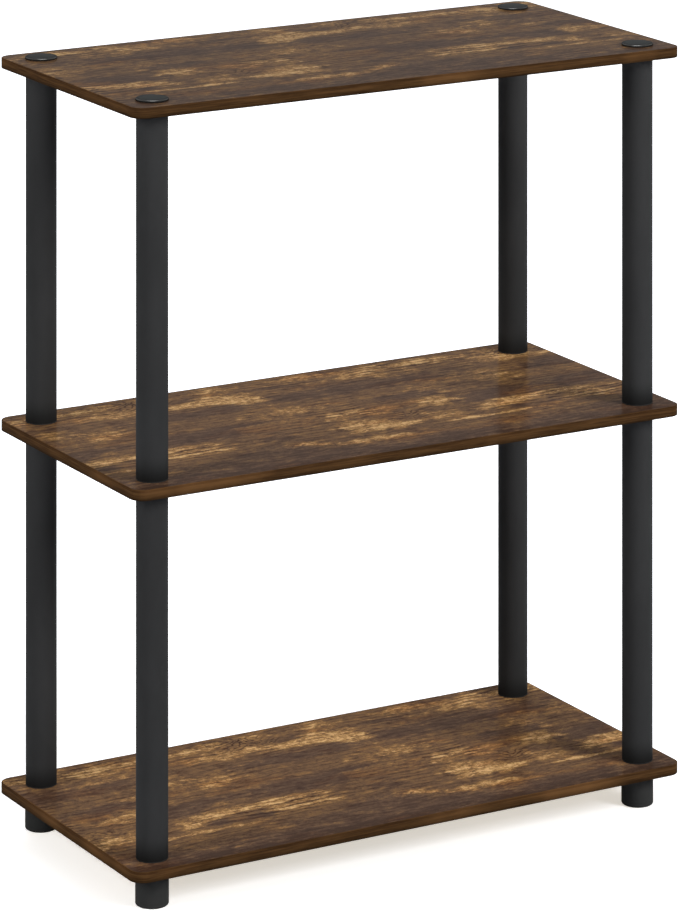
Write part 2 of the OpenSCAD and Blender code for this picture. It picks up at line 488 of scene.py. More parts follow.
# %% Streaks of several widths
def streak_noise(cells, detail, rough, spot=paper_spot):
    """Noise stretched along the paper, centred on 0. cells is noise cells per metre."""
    at = vector_maths(print_tree, "MULTIPLY", spot, cells)
    return maths(print_tree, "SUBTRACT", noise(print_tree, at, 1.0, detail=detail, roughness=rough), 0.5)


clouds = streak_noise((26, 52, 1), 8.0, 0.74)
bands = streak_noise((8, 110, 1), 5.0, 0.7)
blots = streak_noise((80, 130, 1), 5.0, 0.7)
fibres = streak_noise((90, 520, 1), 3.0, 0.6)
specks = streak_noise((210, 170, 1), 5.0, 0.8)
print("streaks of 5 sizes")

# %% [markdown]
# ## Ripples and cracks
# Where a saw cuts through a curl in the wood, the growth rings show as close wavy lines. A drawn picture
# of them would repeat, so they are a sine wave across the board, read at a spot that noise has curled. In
# the chevron patches a zigzag along the board bends the wave. The lines are strong in their patches, faint
# everywhere else and worn off in places. Cracks are the places where another curled noise is close to 0,
# which makes thin lines that wander.

# %% Ripples in the curls
RIPPLE_STEP = 8 * MM
CHEVRON_STEP = 48 * MM
CHEVRON_REACH = 11 * MM
ZONE_START = 0.1
CHEVRON_FULL = 0.7
RIPPLE_FULL = 0.8
RIPPLE_LEAST = 0.3
BETWEEN_LINES = 0.4
ON_LINE = -1.0
WORN_LEAST = 0.1

curled_spot = stirred(print_tree, flat_spot, (11, 16, 1), (90 * MM, 30 * MM, 0), 6.0, 0.6)
curled = add_node(print_tree, "SeparateXYZ")
print_tree.links.new(curled_spot, curled.inputs[0])
chevron_sum = patch_total(print_tree, frayed_spot, CHEVRON_PATCHES)
chevron_zone = ramp(print_tree, chevron_sum, ZONE_START, CHEVRON_FULL)
zigzag = maths(print_tree, "PINGPONG", curled.outputs["X"], CHEVRON_STEP / 2)
zigzag = maths(print_tree, "MULTIPLY", zigzag, 4 * CHEVRON_REACH / CHEVRON_STEP)
bent = maths(print_tree, "MULTIPLY_ADD", zigzag, chevron_zone, curled.outputs["Y"])
wave = maths(print_tree, "SINE", maths(print_tree, "MULTIPLY", bent, 2 * math.pi / RIPPLE_STEP))
ripple_sum = patch_total(print_tree, frayed_spot, RIPPLE_PATCHES)
ripple_zone = ramp(print_tree, ripple_sum, ZONE_START, RIPPLE_FULL)
line = ramp(print_tree, wave, -0.1, 1.0, BETWEEN_LINES, ON_LINE)
worn = ramp(print_tree, streak_noise((30, 70, 1), 4.0, 0.7), -0.16, 0.02, WORN_LEAST, 1.0)
ripple_zone = maths(print_tree, "MAXIMUM", ripple_zone, chevron_zone)
ripple_zone = maths(print_tree, "MAXIMUM", ripple_zone, RIPPLE_LEAST)
ripple = maths(print_tree, "MULTIPLY", maths(print_tree, "MULTIPLY", line, worn), ripple_zone)
print("ripples every", RIPPLE_STEP, "m")

# %% Cracks along the grain
CRACK_WIDTH = 0.035

crack_noise = streak_noise((34, 95, 1), 4.0, 0.6, curled_spot)
cracks = ramp(print_tree, maths(print_tree, "ABSOLUTE", crack_noise), 0.0, CRACK_WIDTH, 1.0, 0.0)
print("cracks where the noise is within", CRACK_WIDTH, "of 0")

# %% [markdown]
# ## From patches to a colour
# All these effects could be blended as colours, one over the other, but then each new one would hide the
# last. Here they add up to one tone instead, from 0, dark, to 1, gold. A weight below 0 darkens. Specks
# and cracks count in full in the gold and only in part elsewhere, because the grey patches are smooth.
# The tone then picks its colour from a scale, as in a printer's table of inks. Last come two casts: grey
# patches turn cooler, and some wide stretches turn rusty.

# %% One tone, from dark to gold
TONE_START = 0.44
OUTSIDE_GOLD = 0.35
MARGIN_FRONT = -142 * MM
MARGIN_REAR = -118 * MM


def add_up(tree, start, *shares):
    """start plus each value times its weight."""
    total = start
    for value, weight in shares:
        total = maths(tree, "MULTIPLY_ADD", value, weight, total)
    return total


def soften(tree, value, start, slope):
    """Lets a value rise ever more slowly: value / (start + slope * value)."""
    return maths(tree, "DIVIDE", value, maths(tree, "MULTIPLY_ADD", value, slope, start))


gold = soften(print_tree, patch_total(print_tree, frayed_spot, GOLD_PATCHES), 0.8, 0.6)
gold = add_up(print_tree, gold, (clouds, 1.15), (bands, 0.7), (blots, 0.8))
gold = ramp(print_tree, gold, 0.05, 0.8)
grey = patch_total(print_tree, frayed_spot, GREY_PATCHES)
grey = add_up(print_tree, grey, (clouds, -1.6), (bands, -0.8), (blots, -1.0))
grey = ramp(print_tree, grey, 0.2, 0.9)
stains = ramp(print_tree, streak_noise((45, 120, 1), 6.0, 0.72), 0.06, 0.13)
dark = ramp(print_tree, patch_total(print_tree, frayed_spot, DARK_FLECKS), 0.3, 0.8)
pale = ramp(print_tree, patch_total(print_tree, frayed_spot, PALE_FLECKS), 0.3, 0.8)
in_gold = maths(print_tree, "MULTIPLY_ADD", gold, 1 - OUTSIDE_GOLD, OUTSIDE_GOLD)
on_margin = add_node(print_tree, "SeparateXYZ")
print_tree.links.new(paper_spot, on_margin.inputs[0])
margin = ramp(print_tree, on_margin.outputs["Y"], MARGIN_FRONT, MARGIN_REAR, 1.0, 0.0)
margin = maths(print_tree, "MULTIPLY", margin, given["Margin"])
tone = add_up(
    print_tree,
    TONE_START,
    (gold, 0.4),
    (grey, -0.17),
    (clouds, 0.8),
    (bands, 0.5),
    (blots, 0.55),
    (stains, -0.13),
    (fibres, 0.45),
    (maths(print_tree, "MULTIPLY", specks, in_gold), 1.35),
    (maths(print_tree, "MULTIPLY", cracks, in_gold), -0.3),
    (ripple, 0.27),
    (dark, -0.25),
    (pale, 0.25),
    (margin, -0.23),
)

# %% The colours of the tone
TONE_COLOURS = [
    (0.0, (56, 38, 27)),
    (0.2, (82, 60, 46)),
    (0.42, (108, 83, 62)),
    (0.62, (137, 102, 65)),
    (0.8, (175, 135, 86)),
    (1.0, (216, 177, 124)),
]
GREY_CAST = linear(92, 76, 68)
GREY_CAST_SHARE = 0.3
RUST_CAST = linear(255, 232, 212)
RUST_CAST_SHARE = 0.55


def colour_scale(tree, value, stops):
    """A colour ramp with stops of (place, screen colour)."""
    made = add_node(tree, "ValToRGB")
    elements = made.color_ramp.elements
    for index, (at, colour) in enumerate(stops):
        element = elements[index] if index < 2 else elements.new(at)
        element.position = at
        element.color = linear(*colour)
    feed(tree, made.inputs[0], value)
    return made.outputs["Color"]


wood = colour_scale(print_tree, tone, TONE_COLOURS)
cast = maths(print_tree, "MULTIPLY", grey, GREY_CAST_SHARE)
wood = blend_colour(print_tree, cast, wood, GREY_CAST)
rust = ramp(print_tree, streak_noise((9, 24, 1), 4.0, 0.6), 0.02, 0.16, 0.0, RUST_CAST_SHARE)
wood = blend_colour(print_tree, rust, wood, RUST_CAST, "MULTIPLY")
# Painted light and shade: Level scales the whole colour of a board.
level = add_node(print_tree, "VectorMath", operation="SCALE")
print_tree.links.new(wood, level.inputs["Vector"])
print_tree.links.new(given["Level"], level.inputs["Scale"])
print_tree.links.new(level.outputs["Vector"], result["Color"])
feed(print_tree, result["Gloss"], ramp(print_tree, clouds, -0.2, 0.2))
feed(print_tree, result["Height"], fibres)
print("print made of", len(print_tree.nodes), "nodes")

# %% [markdown]
# ## The skin of moulded and extruded plastic
# The tubes, feet and caps are black plastic with a satin skin. Under a lamp such a skin shows a very
# fine orange peel and slight changes in its sheen where it has been handled. One group gives both. The
# marks are noise, drawn out upwards because a hand slides along a tube.

# %% The plastic group
MARKS_DRAWN_OUT = (1, 1, 0.4)

skin, given, result = new_group(
    "plastic_skin",
    [("Vector", "vector"), ("Peel", "number"), ("Marks", "number")],
    [("Tone", "number"), ("Sheen", "number"), ("Height", "number")],
)
peel = noise(skin, given["Vector"], given["Peel"], detail=2.0)
marks_at = vector_maths(skin, "MULTIPLY", given["Vector"], MARKS_DRAWN_OUT)
marks = noise(skin, marks_at, given["Marks"], detail=4.0, roughness=0.6)
feed(skin, result["Tone"], ramp(skin, marks, 0.35, 0.7))
feed(skin, result["Sheen"], ramp(skin, marks, 0.3, 0.75))
feed(skin, result["Height"], peel)
print("group", skin.name)

# %% [markdown]
# ## The finishes
# Each material is a Principled shader. What is the same all over a piece is written on the shader's own
# sockets. What varies comes from the groups: the colour, the roughness and the height of the bump.
#
# The specular levels are far below those of real plastic or laminate. Every reflection here sees a white
# backdrop, so at a low angle a usual level would cover the prints with a white haze. What is left is
# enough for the dark reflections of the tubes in the boards.

# %% A material to start from
def start_finish(name, specular):
    """A new material with its tree, its shader and the position on the piece."""
    made = bpy.data.materials.new(name)
    made.use_nodes = True
    tree = made.node_tree
    tree.nodes.clear()
    shader = add_node(tree, "BsdfPrincipled")
    shader.inputs["Specular IOR Level"].default_value = specular
    tree.links.new(shader.outputs[0], add_node(tree, "OutputMaterial").inputs[0])
    spot = add_node(tree, "TexCoord").outputs["Object"]
    return made, tree, shader, spot


def add_bump(tree, shader, height, depth, strength):
    """Bump of a given depth in metres."""
    bump = add_node(tree, "Bump")
    bump.inputs["Strength"].default_value = strength
    bump.inputs["Distance"].default_value = depth
    feed(tree, bump.inputs["Height"], height)
    tree.links.new(bump.outputs[0], shader.inputs["Normal"])


# %% The laminate of the boards
PRINT_BUMP = 0.5
PAPER_RELIEF = 0.05 * MM
CHIP_SCALE = 700
CHIP_PALE = linear(150, 118, 82)
CHIP_DARK = linear(104, 76, 50)
RAW_ROUGHNESS = 0.8
SATIN_ROUGHNESS = (0.14, 0.22)


def laminate(board, turn, shift, level, margin, specular):
    """The printed laminate of a board, with raw chipboard in the walls of its holes."""
    made, tree, shader, spot = start_finish(f"laminate_{board}", specular)
    place = {"Turn": turn, "Shift": shift, "Level": level, "Margin": margin}
    paper = place_group(tree, print_tree, Vector=spot, **place)
    chips = add_node(tree, "TexVoronoi")
    tree.links.new(spot, chips.inputs["Vector"])
    chips.inputs["Scale"].default_value = CHIP_SCALE
    chip_colour = blend_colour(tree, chips.outputs["Distance"], CHIP_PALE, CHIP_DARK)
    facing = add_node(tree, "SeparateXYZ")
    tree.links.new(add_node(tree, "NewGeometry").outputs["True Normal"], facing.inputs[0])
    flat = maths(tree, "GREATER_THAN", maths(tree, "ABSOLUTE", facing.outputs["Z"]), 0.5)
    feed(tree, shader.inputs["Base Color"], blend_colour(tree, flat, chip_colour, paper["Color"]))
    satin = ramp(tree, paper["Gloss"], 0.0, 1.0, *SATIN_ROUGHNESS)
    smoother = maths(tree, "SUBTRACT", satin, RAW_ROUGHNESS)
    rough = maths(tree, "MULTIPLY_ADD", flat, smoother, RAW_ROUGHNESS)
    feed(tree, shader.inputs["Roughness"], rough)
    add_bump(tree, shader, paper["Height"], PAPER_RELIEF, PRINT_BUMP)
    return made


# level is painted light and shade: it is higher on the boards in the shade of those above and lower on the
# top one.
PRINT_PLACES = {
    "bottom": {"turn": 1.0, "shift": 0.0, "level": 1.08, "margin": 1.0, "specular": 0.0022},
    "middle": {"turn": 1.0, "shift": 119 * MM, "level": 1.03, "margin": 0.75, "specular": 0.0022},
    "top": {"turn": -1.0, "shift": 32.5 * MM, "level": 0.79, "margin": 0.0, "specular": 0.0015},
}
laminates = {board: laminate(board, **place) for board, place in PRINT_PLACES.items()}
print("laminates", len(laminates))

# %% [markdown]
# ## The print of the edge strips
# The strips round the boards carry a darker print of their own, with thin lines and wide streaks along
# them. Their colour is also multiplied by a scale over the height of the piece's box. Its dark foot and
# its bright stretch above the middle are painted shade and painted light on the strip's face. Its darker
# line near the top follows the seam with the board's paper.

# %% The edge strips
EDGE_DARK = linear(60, 41, 24)
EDGE_MID = linear(84, 59, 35)
EDGE_LIGHT = linear(108, 76, 46)
EDGE_PAINTED_SHADE_AND_SEAM = [
    (0.0, (150, 155, 170)),
    (0.1, (176, 182, 190)),
    (0.3, (216, 216, 216)),
    (0.55, (250, 250, 250)),
    (0.74, (255, 255, 255)),
    (0.8, (226, 222, 220)),
    (0.95, (226, 222, 220)),
    (1.0, (255, 255, 255)),
]
LINE_CELLS = (30, 30, 900)
EDGE_RELIEF = 0.04 * MM
EDGE_ROUGHNESS = (0.42, 0.52)


def box_height(tree):
    """The height within the box of the piece, from 0 to 1."""
    parts = add_node(tree, "SeparateXYZ")
    tree.links.new(add_node(tree, "TexCoord").outputs["Generated"], parts.inputs[0])
    return parts.outputs["Z"]


edge_finish, tree, shader, spot = start_finish("edge_print", 0.002)
lines = place_group(tree, streaks, Vector=spot, Along=22.0, Across=30.0, Sway=0.01)
thin_at = vector_maths(tree, "MULTIPLY", spot, LINE_CELLS)
thin = noise(tree, thin_at, 1.0, detail=3.0, roughness=0.6)
edge = blend_colour(tree, ramp(tree, thin, 0.35, 0.65), EDGE_DARK, EDGE_MID)
edge = blend_colour(tree, ramp(tree, lines["Broad"], 0.5, 0.75), edge, EDGE_LIGHT)
# Painted shade and light over the strip's height, with the darker line of the seam near the top.
painted_shade_and_seam = colour_scale(tree, box_height(tree), EDGE_PAINTED_SHADE_AND_SEAM)
feed(tree, shader.inputs["Base Color"], vector_maths(tree, "MULTIPLY", edge, painted_shade_and_seam))
feed(tree, shader.inputs["Roughness"], ramp(tree, thin, 0.3, 0.7, *EDGE_ROUGHNESS))
add_bump(tree, shader, thin, EDGE_RELIEF, PRINT_BUMP)
print("edge shades", len(EDGE_PAINTED_SHADE_AND_SEAM))

# %% [markdown]
# ## The black plastics
# Tubes, feet and caps differ a little in tone, in sheen and in how coarse their skin is. Two of them also
# get painted shade over the piece. A tube is painted darker over its lowest 24 mm or so, for the shade
# close to the board it stands on. A cap is painted darker round its rim, as painted shade, and has a
# narrow polished arris. Both are found from the place in the box of the piece: its height, or its reach,
# which is 0 at the axis and 1 at the edge. Layer Weight keeps the arris glossy only where it faces the
# eye. Its far side would show the white backdrop as a bright ring.

# %% Three black plastics
MARKS_SCALE = 14.0
PEEL_BUMP = 0.6


def black_plastic(name, tones, peel_scale, peel_depth, specular, roughness=None):
    """A black plastic whose tone varies a little over the piece, and its roughness too, in a range."""
    made, tree, shader, spot = start_finish(name, specular)
    parts = place_group(tree, skin, Vector=spot, Peel=peel_scale, Marks=MARKS_SCALE)
    feed(tree, shader.inputs["Base Color"], blend_colour(tree, parts["Tone"], *tones))
    if roughness:
        feed(tree, shader.inputs["Roughness"], ramp(tree, parts["Sheen"], 0.0, 1.0, *roughness))
    add_bump(tree, shader, parts["Height"], peel_depth, PEEL_BUMP)
    return made


tube_finish = black_plastic(
    "black_tube",
    tones=(linear(49, 49, 49), linear(54, 54, 54)),
    peel_scale=900.0,
    peel_depth=0.02 * MM,
    specular=0.004,
    roughness=(0.4, 0.48),
)
foot_finish = black_plastic(
    "black_moulding",
    tones=(linear(50, 50, 49), linear(55, 55, 54)),
    peel_scale=1600.0,
    peel_depth=0.03 * MM,
    specular=0.004,
    roughness=(0.44, 0.52),
)
cap_finish = black_plastic(
    "black_cap",
    tones=(linear(44, 46, 46), linear(49, 51, 51)),
    peel_scale=1200.0,
    peel_depth=0.02 * MM,
    specular=0.004,
)
print("black plastics", [made.name for made in (tube_finish, foot_finish, cap_finish)])


# %% Painted shade at the foot of a tube
TUBE_PAINTED_SHADE_SHARE = 0.07
TUBE_PAINTED_SHADE_DEPTH = 0.6
TUBE_PAINTED_SHADE_BLACK = linear(10, 10, 10)


def paint_shade(finish, share, colour):
    """Paints shade: blends the colour of a finish towards a darker one where share is 1."""
    tree = finish.node_tree
    shader = next(node for node in tree.nodes if node.type == "BSDF_PRINCIPLED")
    plain = shader.inputs["Base Color"].links[0].from_socket
    feed(tree, shader.inputs["Base Color"], blend_colour(tree, share, plain, colour))
    return shader


# Painted shade: the lowest part of each tube is blended towards near black, for the shade close to the
# board below.
tree = tube_finish.node_tree
painted_foot_shade = ramp(tree, box_height(tree), 0.0, TUBE_PAINTED_SHADE_SHARE, TUBE_PAINTED_SHADE_DEPTH, 0.0)
paint_shade(tube_finish, painted_foot_shade, TUBE_PAINTED_SHADE_BLACK)
print("a tube darkens over its lowest", TUBE_PAINTED_SHADE_SHARE)

# %% Painted shade round the rim of a cap, and its glossy arris
RIM_FROM, RIM_TO = 0.72, 0.99
RIM_PAINTED_SHADE_DEPTH = 0.9
RIM_PAINTED_SHADE_BLACK = linear(20, 19, 18)
ARRIS_FROM, ARRIS_TO = 0.94, 0.96
ARRIS_SPECULAR = 0.5
GLOSSY_UP_TO, PLAIN_FROM = 0.35, 0.75
FACE_SPECULAR = 0.003
FACE_ROUGHNESS = 0.38
ARRIS_SMOOTHER = 0.16

tree = cap_finish.node_tree
in_box = add_node(tree, "TexCoord").outputs["Generated"]
from_axis = vector_maths(tree, "MULTIPLY_ADD", in_box, (2, 2, 0), (-1, -1, 0))
reach = vector_maths(tree, "LENGTH", from_axis, out="Value")
# Painted shade: the cap's top is blended towards near black as it nears the rim.
painted_rim_shade = ramp(tree, reach, RIM_FROM, RIM_TO, 0.0, RIM_PAINTED_SHADE_DEPTH)
shader = paint_shade(cap_finish, painted_rim_shade, RIM_PAINTED_SHADE_BLACK)
arris = ramp(tree, reach, ARRIS_FROM, ARRIS_TO)
turned_away = add_node(tree, "LayerWeight").outputs["Facing"]
to_eye = ramp(tree, turned_away, GLOSSY_UP_TO, PLAIN_FROM, 1.0, 0.0)
gloss = maths(tree, "MULTIPLY", maths(tree, "MULTIPLY", arris, to_eye), ARRIS_SPECULAR)
feed(tree, shader.inputs["Specular IOR Level"], maths(tree, "ADD", gloss, FACE_SPECULAR))
smoother = maths(tree, "MULTIPLY", arris, ARRIS_SMOOTHER)
feed(tree, shader.inputs["Roughness"], maths(tree, "SUBTRACT", FACE_ROUGHNESS, smoother))
print("finishes", len(bpy.data.materials))

# %% [markdown]
# ## Helpers for the meshes
# The shelf has three kinds of shape: flat boards, a strip that runs round each board, and turned parts.
# A turned part is an outline of radii and heights, carried round its axis ring by ring. That gives full
# control of each small rounding, which a stock cylinder doesn't have. Radii and heights that the packed
# model already holds are read from its boxes.

# %% What the frame gives
CORNERS = ("front_left", "front_right", "rear_left", "rear_right")
LEVELS = ("lower", "upper")


def node_box(node):
    """The lowest and highest corner of a node, as vectors."""
    low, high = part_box(node)
    return Vector(low), Vector(high)


def on_axis(node):
    """The point on the floor under the middle of a node."""
    low, high = node_box(node)
    middle = (low + high) / 2
    return Vector((middle.x, middle.y, 0))


axes = {corner: on_axis(f"{corner}_foot") for corner in CORNERS}
print("corner axes", {corner: (round(at.x, 3), round(at.y, 3)) for corner, at in axes.items()})

# %% Turning an outline
TURN_STEPS = 96


def turn_outline(mesh, outline, axis, closed=False, swell=None):
    """Turns (radius, height) points about an upright axis. swell(angle, height) adds to the radius."""
    rings = []
    for radius, height in outline:
        if radius == 0:
            rings.append([mesh.verts.new(axis + Vector((0, 0, height)))])
            continue
        ring = []
        for step in range(TURN_STEPS):
            angle = 2 * math.pi * step / TURN_STEPS
            reach = radius + (swell(angle, height) if swell else 0)
            point = Vector((reach * math.cos(angle), reach * math.sin(angle), height))
            ring.append(mesh.verts.new(axis + point))
        rings.append(ring)
    followers = rings[1:] + rings[:1] if closed else rings[1:]
    for first, second in zip(rings, followers):
        for step in range(TURN_STEPS):
            after = (step + 1) % TURN_STEPS
            around = [first[step % len(first)], first[after % len(first)]]
            around += [second[after % len(second)], second[step % len(second)]]
            mesh.faces.new(list(dict.fromkeys(around)))


def arc(middle, radius, start, end, steps=8):
    """Points on a circle in an outline. The angles are in degrees."""
    turns = [math.radians(start + (end - start) * step / steps) for step in range(steps + 1)]
    return [(middle[0] + radius * math.cos(t), middle[1] + radius * math.sin(t)) for t in turns]


# %% Making a piece of a mesh
SHARP_ANGLE = math.radians(32)


def add_piece(name, mesh, finish, slot, body, *nodes):
    """Makes the piece that stands for these nodes and lets it ride on its body. slot is not used."""
    bmesh.ops.recalc_face_normals(mesh, faces=mesh.faces)
    data = bpy.data.meshes.new(name)
    mesh.to_mesh(data)
    mesh.free()
    data.materials.append(finish)
    data.shade_smooth()
    data.set_sharp_from_angle(angle=SHARP_ANGLE)
    piece = bpy.data.objects.new(name, data)
    scene.collection.objects.link(piece)
    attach(piece, body)
    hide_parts(*nodes)


# %% [markdown]
# ## The boards
# A board is a thin panel, printed on both faces, with a drilled hole for a stud near each corner. Its
# outline and the four rims are loops of edges that Blender fills with triangles. The walls of the
# holes are then added ring by ring, with the small bevel that a drill with a countersink leaves.

# %% The outline of a board
OUTER_CORNER = 14 * MM
BAND_THICK = 1.2 * MM
CORNER_STEPS = 16


def round_corners(half_x, half_y, radius):
    """(point, outward direction) pairs round a board, anticlockwise from its rear left corner."""
    path = []
    for sign_x, sign_y, start in ((-1, 1, 90), (-1, -1, 180), (1, -1, 270), (1, 1, 0)):
        middle = Vector((sign_x * (half_x - radius), sign_y * (half_y - radius), 0))
        for step in range(CORNER_STEPS + 1):
            angle = math.radians(start + 90 * step / CORNER_STEPS)
            outward = Vector((math.cos(angle), math.sin(angle), 0))
            path.append((middle + outward * radius, outward))
    return path


# %% The panels
HOLE_RADIUS = 7.7 * MM
HOLE_BEVEL = 0.4 * MM
HOLE_STEPS = 64


def add_loop(mesh, points):
    """Vertices joined in a ring by edges."""
    verts = [mesh.verts.new(point) for point in points]
    edges = [mesh.edges.new(pair) for pair in zip(verts, verts[1:] + verts[:1])]
    return verts, edges


def join_loops(mesh, first, second):
    """A wall of quads between two rings with the same number of vertices."""
    for index in range(len(first)):
        after = (index + 1) % len(first)
        mesh.faces.new((first[index], first[after], second[after], second[index]))


def hole_points(axis, radius, height):
    """A ring of points round a corner's axis."""
    turns = [2 * math.pi * step / HOLE_STEPS for step in range(HOLE_STEPS)]
    return [Vector((axis.x + radius * math.cos(t), axis.y + radius * math.sin(t), height)) for t in turns]


def add_board(board):
    """The printed panel of one board."""
    low, high = node_box(f"{board}_board")
    path = round_corners(high.x, high.y, OUTER_CORNER - BAND_THICK)
    mesh = bmesh.new()
    rims = {}
    for height in (low.z, high.z):
        rims[height], edges = add_loop(mesh, [point + Vector((0, 0, height)) for point, outward in path])
        for corner, axis in axes.items():
            ring, more = add_loop(mesh, hole_points(axis, HOLE_RADIUS + HOLE_BEVEL, height))
            rims[corner, height] = ring
            edges += more
        bmesh.ops.triangle_fill(mesh, edges=edges, use_beauty=True)
    join_loops(mesh, rims[low.z], rims[high.z])
    for corner, axis in axes.items():
        lower = add_loop(mesh, hole_points(axis, HOLE_RADIUS, low.z + HOLE_BEVEL))[0]
        upper = add_loop(mesh, hole_points(axis, HOLE_RADIUS, high.z - HOLE_BEVEL))[0]
        join_loops(mesh, rims[corner, low.z], lower)
        join_loops(mesh, lower, upper)
        join_loops(mesh, upper, rims[corner, high.z])
    faces = len(mesh.faces)
    add_piece(f"{board}_board_laminate", mesh, laminates[board], "wood_panel", "frame", f"{board}_board")
    return faces


print("faces of the boards", [add_board(board) for board in PRINT_PLACES])

# %% [markdown]
# ## The edge strips
# A printed strip is glued round each board, with its two long arrises rounded by a cutter. It starts
# and ends in a butt joint at the middle of the rear edge. The strip's section is carried along the
# outline of the board, and its two ends are closed.

# %% The strips
BAND_ROUND = 0.5 * MM
JOINT_GAP = 0.3 * MM


def band_section(low, high):
    """(distance from the board, height) points round the strip's section."""
    centre = BAND_THICK - BAND_ROUND
    lower = arc((centre, low + BAND_ROUND), BAND_ROUND, -90, 0)
    upper = arc((centre, high - BAND_ROUND), BAND_ROUND, 0, 90)
    return [(0, low)] + lower + upper + [(0, high)]


def add_band(board):
    """The strip round one board."""
    low, high = node_box(f"{board}_edge_band")
    half_x, half_y = high.x - BAND_THICK, high.y - BAND_THICK
    rear = Vector((0, 1, 0))
    path = [(Vector((-JOINT_GAP / 2, half_y, 0)), rear)]
    path += round_corners(half_x, half_y, OUTER_CORNER - BAND_THICK)
    path.append((Vector((JOINT_GAP / 2, half_y, 0)), rear))
    section = band_section(low.z, high.z)
    mesh = bmesh.new()
    rows = []
    for point, outward in path:
        places = [point + outward * away + Vector((0, 0, height)) for away, height in section]
        rows.append([mesh.verts.new(place) for place in places])
    for first, second in zip(rows, rows[1:]):
        join_loops(mesh, first, second)
    mesh.faces.new(rows[0])
    mesh.faces.new(rows[-1])
    add_piece(f"{board}_edge_strip", mesh, edge_finish, "edge_band", "frame", f"{board}_edge_band")
    return len(rows)


print("stations of the strips", [add_band(board) for board in PRINT_PLACES])

# %% [markdown]
# ## The poles
# The poles are extruded plastic tube, sawn to length. The saw cut is broken by a small bevel inside and
# outside. The ring of wall is a closed outline that doesn't touch the axis.

# %% The poles
TUBE_WALL = 1.8 * MM
TUBE_BEVEL = 0.25 * MM


def add_pole(level, corner):
    """The tube of one corner between two boards."""
    node = f"{level}_{corner}_tube"
    low, high = node_box(node)
    outer = (high.x - low.x) / 2
    inner = outer - TUBE_WALL
    outline = [
        (inner + TUBE_BEVEL, low.z),
        (outer - TUBE_BEVEL, low.z),
        (outer, low.z + TUBE_BEVEL),
        (outer, high.z - TUBE_BEVEL),
        (outer - TUBE_BEVEL, high.z),
        (inner + TUBE_BEVEL, high.z),
        (inner, high.z - TUBE_BEVEL),
        (inner, low.z + TUBE_BEVEL),
    ]
    mesh = bmesh.new()
    turn_outline(mesh, outline, axes[corner], closed=True)
    add_piece(f"{level}_{corner}_pole", mesh, tube_finish, "black_tube", "frame", node)
    return outer


radii = [add_pole(level, corner) for level in LEVELS for corner in CORNERS]
tube_radius = max(radii)
print("poles", len(radii), "of radius", round(tube_radius, 4))

# %% [markdown]
# ## The thread
# The studs are moulded with a coarse thread. Its ridge climbs round the shank like a screw, which the
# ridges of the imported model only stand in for. Here the radius of each point depends on its height
# and on its angle, so that one full turn climbs by one pitch.

# %% The screw stud
BOARD_THICK = node_box("top_board")[1].z - node_box("top_board")[0].z
STUD_RADIUS = 7 * MM
STUD_BORE = 3.8 * MM
THREAD_PITCH = 3 * MM
THREAD_DEPTH = 0.9 * MM
THREAD_RIDGES = 4
STUD_LEAD = 1.5 * MM
ROWS_PER_PITCH = 10
stud_length = BOARD_THICK + THREAD_RIDGES * THREAD_PITCH + STUD_LEAD


def screw_swell(top):
    """How far a stud that hangs from a height swells beyond its root, by angle and height."""
    def swell(angle, height):
        down = top - BOARD_THICK - height
        length = THREAD_RIDGES * THREAD_PITCH
        if down <= 0 or down >= length:
            return 0
        fade = min(1, down / THREAD_PITCH, (length - down) / THREAD_PITCH)
        turn = down / THREAD_PITCH - angle / (2 * math.pi)
        return THREAD_DEPTH * fade * (0.5 - 0.5 * math.cos(2 * math.pi * turn))
    return swell


def stud_outline(top):
    """The outside of a stud from its shoulder down to its tip, then in to its bore."""
    root = STUD_RADIUS - THREAD_DEPTH
    start = top - BOARD_THICK
    steps = THREAD_RIDGES * ROWS_PER_PITCH
    points = [(STUD_RADIUS, top), (STUD_RADIUS, start), (root, start - THREAD_DEPTH / 2)]
    points += [(root, start - THREAD_PITCH * step / ROWS_PER_PITCH) for step in range(3, steps + 1)]
    tip = top - stud_length
    return points + [(root, tip + 0.5 * MM), (root - 0.5 * MM, tip), (STUD_BORE, tip)]


print("stud length", round(stud_length, 4))

# %% [markdown]
# ## The inserts
# Each tube is plugged at both ends. The upper insert holds the socket and the lower one ends in the
# stud. Both have a lip that covers the end of the tube, a skirt inside its wall, a sleeve in the middle
# and ribs from one to the other.

# %% The ribs
RIB_COUNT = 6
RIB_THICK = 1.4 * MM
BOND = 0.4 * MM


def add_ribs(mesh, axis, inner, outer, low, high):
    """Upright plates from a sleeve to a wall, all round."""
    for index in range(RIB_COUNT):
        turn = 2 * math.pi * index / RIB_COUNT
        along = Vector((math.cos(turn), math.sin(turn), 0))
        side = Vector((-along.y, along.x, 0)) * RIB_THICK / 2
        rings = []
        for height in (low, high):
            near = axis + along * (inner - BOND) + Vector((0, 0, height))
            far = axis + along * (outer + BOND) + Vector((0, 0, height))
            rings.append([mesh.verts.new(p) for p in (near - side, far - side, far + side, near + side)])
        join_loops(mesh, *rings)
        mesh.faces.new(rings[0])
        mesh.faces.new(rings[1])


# %% The inserts of the tubes
LIP_THICK = 1 * MM
LIP_ROUND = 0.3 * MM
PLUG_HEIGHT = 20 * MM
PLUG_RADIUS = tube_radius - TUBE_WALL - 0.15 * MM
SKIRT_WALL = 1.5 * MM
SOCKET_RADIUS = 7.3 * MM
SLEEVE_RADIUS = SOCKET_RADIUS + 1.8 * MM
RIB_DROP = 1 * MM


def insert_outline(bore):
    """From the lip's outer face, at height 0, out round the lip and in to the bore, at plug height."""
    lip = arc((tube_radius - LIP_ROUND, LIP_ROUND), LIP_ROUND, -90, 0, steps=4)
    return lip + [
        (tube_radius, LIP_THICK),
        (PLUG_RADIUS, LIP_THICK),
        (PLUG_RADIUS, PLUG_HEIGHT),
        (PLUG_RADIUS - SKIRT_WALL, PLUG_HEIGHT),
        (PLUG_RADIUS - SKIRT_WALL, LIP_THICK),
        (SLEEVE_RADIUS, LIP_THICK),
        (SLEEVE_RADIUS, PLUG_HEIGHT),
        (bore, PLUG_HEIGHT),
    ]


